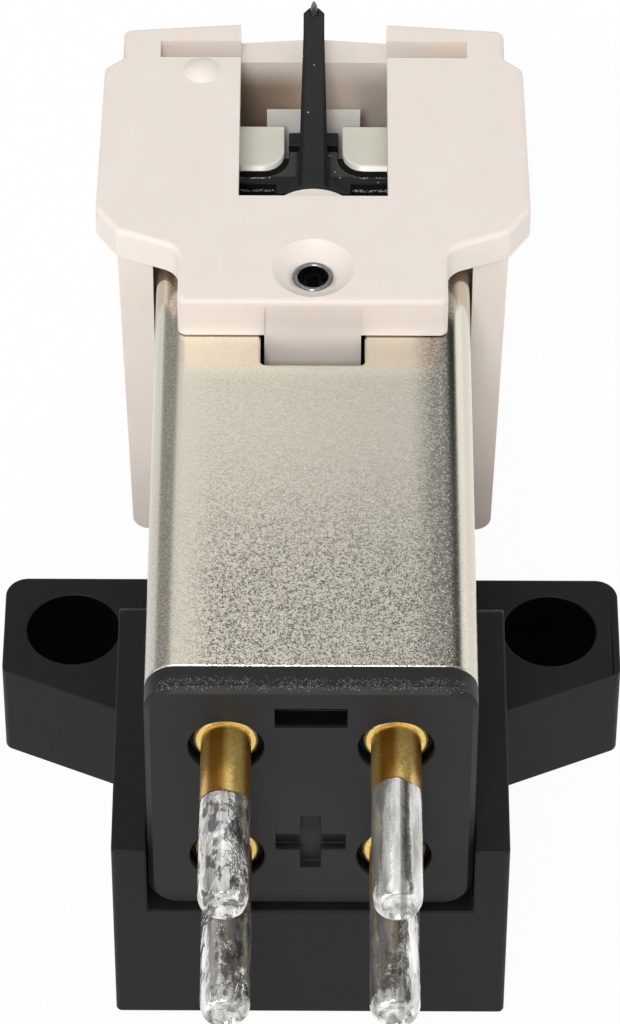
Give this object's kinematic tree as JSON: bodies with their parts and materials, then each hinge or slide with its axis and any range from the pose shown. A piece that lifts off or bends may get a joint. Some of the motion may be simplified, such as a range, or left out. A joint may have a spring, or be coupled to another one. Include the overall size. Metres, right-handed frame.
{
  "type": "turntable stylus cartridge",
  "caption": "Moving-magnet phono cartridge with an eared mounting base, plated shield can, rear terminal pins and a slip-on stylus holder with a sprung cantilever.",
  "frame": {"origin": "midway between the two screw holes, on the mounting face", "axes": "+Z from the mounting face towards the record, +Y towards the stylus, +X to the right seen from the terminal pins"},
  "size_m": [0.0164, 0.0279, 0.0146],
  "materials": {
    "black_moulding": "satin moulded black",
    "carrier_moulding": "moulded black",
    "nickel_sheet": "nickel plate over a fine matt grain",
    "cream_moulding": "satin moulded off-white",
    "lock_pin_metal": "bright drawn tube",
    "sleeve_metal": "drawn tube",
    "wire_steel": "drawn wire",
    "damper_rubber": "moulded rubber",
    "cantilever_moulding": "carbon-filled moulding",
    "diamond": "ground diamond",
    "magnet": "sintered",
    "bobbin_moulding": "moulded",
    "copper_winding": "enamelled copper wire",
    "pole_sheet": "annealed soft magnetic sheet",
    "plated_pin": "gold plate, tinned over the free end"
  },
  "bodies": {
    "body": {"mounting_base": "black_moulding", "terminal_plate": "black_moulding", "core_carrier": "carrier_moulding", "shield_can": "nickel_sheet", "bobbin_left": "bobbin_moulding", "bobbin_right": "bobbin_moulding", "coil_left": "copper_winding", "coil_right": "copper_winding", "coil_leads": "copper_winding", "upper_pole_left": "pole_sheet", "upper_pole_right": "pole_sheet", "lower_pole_left": "pole_sheet", "lower_pole_right": "pole_sheet", "terminal_pin_upper_left": "plated_pin", "terminal_pin_upper_right": "plated_pin", "terminal_pin_lower_left": "plated_pin", "terminal_pin_lower_right": "plated_pin"},
    "stylus_assembly": {"stylus_holder": "cream_moulding", "lock_pin": "lock_pin_metal", "anchor_sleeve": "sleeve_metal", "tie_wire": "wire_steel"},
    "damper_body": {"damper": "damper_rubber"},
    "cantilever_body": {"cantilever": "cantilever_moulding", "stylus_tip": "diamond", "magnet_left": "magnet", "magnet_right": "magnet"}
  },
  "joints": [
    {"name": "stylus_lift", "type": "slide", "parent": "body", "child": "stylus_assembly", "axis": [0, 0, 1], "range_m": [0, 0.012]},
    {"name": "cantilever_lateral", "type": "hinge", "parent": "stylus_assembly", "child": "damper_body", "pos_m": [0, 0.00685, 0.01185], "axis": [0, 0, 1], "range_deg": [-1.5, 1.5], "stiffness_Nm_per_rad": 0.0046},
    {"name": "cantilever_vertical", "type": "hinge", "parent": "damper_body", "child": "cantilever_body", "pos_m": [0, 0.00685, 0.01185], "axis": [1, 0, 0], "range_deg": [-3, 1], "stiffness_Nm_per_rad": 0.0046}
  ]
}
